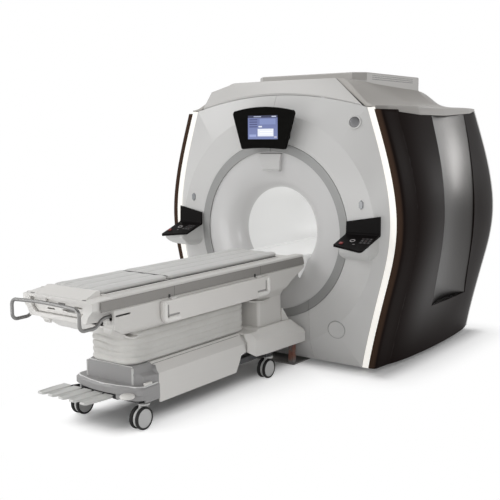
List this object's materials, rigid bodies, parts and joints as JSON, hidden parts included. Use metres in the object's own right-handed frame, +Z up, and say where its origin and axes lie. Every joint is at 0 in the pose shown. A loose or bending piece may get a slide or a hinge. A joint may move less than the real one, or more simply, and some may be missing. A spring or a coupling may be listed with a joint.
{
  "type": "mri scanner",
  "caption": "Wide-bore medical imaging scanner: domed front with grey ring, dark barrel sides, display over the bore, and a docked patient table on casters.",
  "frame": {"origin": "on the floor under the middle of the magnet, where the steel base's centre rail rests", "axes": "+Z up, -Y out of the front of the bore towards the foot of the table, +X to the right as seen from the front"},
  "size_m": [2.4182, 4.286, 2.35],
  "materials": {
    "white_cover": "satin",
    "white_fascia": "satin",
    "grey_band": "satin",
    "brown_side": "gloss",
    "silver_inset": "gloss",
    "white_strip": "gloss",
    "steel_vessel": "matte",
    "coil_resin": "matte",
    "black_gloss": "gloss",
    "screen": "gloss",
    "grey_lens": "gloss",
    "black_panel": "gloss",
    "white_bracket": "satin",
    "red_button": "gloss",
    "dock_steel": "satin",
    "frame_steel": "satin",
    "table_white": "satin",
    "table_grey": "satin",
    "bellows_rubber": "matte",
    "taupe_rail": "satin",
    "pad_cover": "satin",
    "steel_tube": "polished",
    "board_plastic": "satin",
    "caster_grey": "satin",
    "caster_tread": "satin",
    "pedal_grey": "satin"
  },
  "bodies": {
    "magnet": {"front_cover_right": "white_cover", "front_cover_left": "white_cover", "front_cover_lower": "white_cover", "trim_ring": "grey_band", "front_flare": "white_cover", "bore_liner": "white_cover", "rear_flare": "white_cover", "side_cover_right": "brown_side", "side_cover_left": "brown_side", "side_insets": "silver_inset", "light_strips": "white_strip", "top_fascia": "white_fascia", "turret_cover": "white_fascia", "top_slopes": "white_fascia", "rear_cover": "white_cover", "magnet_vessel": "steel_vessel", "gradient_coil": "coil_resin", "body_coil": "coil_resin", "cold_head": "steel_vessel", "magnet_base": "steel_vessel", "bore_bridge": "white_cover", "display_housing": "black_gloss", "display_screen": "screen", "camera_housing": "white_fascia", "cover_sensors": "grey_lens", "control_panel_right": "black_panel", "control_panel_left": "black_panel", "panel_brackets": "white_bracket", "dock_anchor": "dock_steel"},
    "table_base": {"table_frame": "frame_steel", "base_skirt": "table_white", "foot_cover": "table_grey", "head_fairing": "table_white", "lift_cylinder": "frame_steel", "bellows": "bellows_rubber"},
    "table_top": {"table_shell": "table_white", "side_rails": "taupe_rail", "end_cap": "table_grey", "lift_post": "frame_steel"},
    "cradle": {"cradle": "table_white", "pad_foot": "pad_cover", "pad_head": "pad_cover"},
    "push_handle": {"push_handle": "steel_tube"},
    "side_board_right": {"side_board_right": "board_plastic"},
    "side_board_left": {"side_board_left": "board_plastic"},
    "stop_button_right": {"stop_button_right": "red_button"},
    "stop_button_left": {"stop_button_left": "red_button"},
    "caster_fork_foot_left": {"caster_fork_foot_left": "caster_grey"},
    "caster_wheel_foot_left": {"caster_wheel_foot_left": "caster_tread"},
    "caster_fork_foot_right": {"caster_fork_foot_right": "caster_grey"},
    "caster_wheel_foot_right": {"caster_wheel_foot_right": "caster_tread"},
    "caster_fork_head_left": {"caster_fork_head_left": "caster_grey"},
    "caster_wheel_head_left": {"caster_wheel_head_left": "caster_tread"},
    "caster_fork_head_right": {"caster_fork_head_right": "caster_grey"},
    "caster_wheel_head_right": {"caster_wheel_head_right": "caster_tread"},
    "foot_pedal_1": {"foot_pedal_1": "pedal_grey"},
    "foot_pedal_2": {"foot_pedal_2": "pedal_grey"},
    "foot_pedal_3": {"foot_pedal_3": "pedal_grey"},
    "foot_pedal_4": {"foot_pedal_4": "pedal_grey"},
    "foot_pedal_5": {"foot_pedal_5": "pedal_grey"}
  },
  "joints": [
    {"name": "table_dock", "type": "slide", "parent": "magnet", "child": "table_base", "axis": [0, 1, 0], "range_m": [-0.6, 0]},
    {"name": "table_lift", "type": "slide", "parent": "table_base", "child": "table_top", "axis": [0, 0, 1], "range_m": [-0.19, 0], "deforming": ["bellows"]},
    {"name": "cradle_slide", "type": "slide", "parent": "table_top", "child": "cradle", "axis": [0, 1, 0], "range_m": [0, 1.6]},
    {"name": "push_handle_slide", "type": "slide", "parent": "table_top", "child": "push_handle", "axis": [0, 1, 0], "range_m": [0, 0.08]},
    {"name": "side_board_right_hinge", "type": "hinge", "parent": "table_top", "child": "side_board_right", "pos_m": [0.346, -2.03, 0.816], "axis": [0, -1, 0], "range_deg": [0, 90]},
    {"name": "side_board_left_hinge", "type": "hinge", "parent": "table_top", "child": "side_board_left", "pos_m": [-0.346, -2.03, 0.816], "axis": [0, 1, 0], "range_deg": [0, 90]},
    {"name": "caster_swivel_foot_left", "type": "hinge", "parent": "table_base", "child": "caster_fork_foot_left", "pos_m": [-0.27, -2.72, 0.16], "axis": [0, 0, 1], "continuous": true},
    {"name": "caster_roll_foot_left", "type": "hinge", "parent": "caster_fork_foot_left", "child": "caster_wheel_foot_left", "pos_m": [-0.27, -2.75, 0.075], "axis": [1, 0, 0], "continuous": true},
    {"name": "caster_swivel_foot_right", "type": "hinge", "parent": "table_base", "child": "caster_fork_foot_right", "pos_m": [0.27, -2.72, 0.16], "axis": [0, 0, 1], "continuous": true},
    {"name": "caster_roll_foot_right", "type": "hinge", "parent": "caster_fork_foot_right", "child": "caster_wheel_foot_right", "pos_m": [0.27, -2.75, 0.075], "axis": [1, 0, 0], "continuous": true},
    {"name": "caster_swivel_head_left", "type": "hinge", "parent": "table_base", "child": "caster_fork_head_left", "pos_m": [-0.27, -1.34, 0.16], "axis": [0, 0, 1], "continuous": true},
    {"name": "caster_roll_head_left", "type": "hinge", "parent": "caster_fork_head_left", "child": "caster_wheel_head_left", "pos_m": [-0.27, -1.37, 0.075], "axis": [1, 0, 0], "continuous": true},
    {"name": "caster_swivel_head_right", "type": "hinge", "parent": "table_base", "child": "caster_fork_head_right", "pos_m": [0.27, -1.34, 0.16], "axis": [0, 0, 1], "continuous": true},
    {"name": "caster_roll_head_right", "type": "hinge", "parent": "caster_fork_head_right", "child": "caster_wheel_head_right", "pos_m": [0.27, -1.37, 0.075], "axis": [1, 0, 0], "continuous": true},
    {"name": "foot_pedal_1_hinge", "type": "hinge", "parent": "table_base", "child": "foot_pedal_1", "pos_m": [-0.332, -2.822, 0.2], "axis": [1, 0, 0], "range_deg": [0, 7], "stiffness_Nm_per_rad": 20, "springref_deg": -5.73},
    {"name": "foot_pedal_2_hinge", "type": "hinge", "parent": "table_base", "child": "foot_pedal_2", "pos_m": [-0.234, -2.822, 0.2], "axis": [1, 0, 0], "range_deg": [0, 7], "stiffness_Nm_per_rad": 20, "springref_deg": -5.73},
    {"name": "foot_pedal_3_hinge", "type": "hinge", "parent": "table_base", "child": "foot_pedal_3", "pos_m": [-0.136, -2.822, 0.2], "axis": [1, 0, 0], "range_deg": [0, 7], "stiffness_Nm_per_rad": 20, "springref_deg": -5.73},
    {"name": "foot_pedal_4_hinge", "type": "hinge", "parent": "table_base", "child": "foot_pedal_4", "pos_m": [-0.038, -2.822, 0.2], "axis": [1, 0, 0], "range_deg": [0, 7], "stiffness_Nm_per_rad": 20, "springref_deg": -5.73},
    {"name": "foot_pedal_5_hinge", "type": "hinge", "parent": "table_base", "child": "foot_pedal_5", "pos_m": [0.06, -2.822, 0.2], "axis": [1, 0, 0], "range_deg": [0, 7], "stiffness_Nm_per_rad": 20, "springref_deg": -5.73},
    {"name": "stop_button_right_press", "type": "slide", "parent": "magnet", "child": "stop_button_right", "axis": [-0.0411, 0.3163, -0.9478], "range_m": [0, 0.003], "stiffness_N_per_m": 400, "springref_m": -0.004},
    {"name": "stop_button_left_press", "type": "slide", "parent": "magnet", "child": "stop_button_left", "axis": [0.0411, 0.3163, -0.9478], "range_m": [0, 0.003], "stiffness_N_per_m": 400, "springref_m": -0.004}
  ]
}
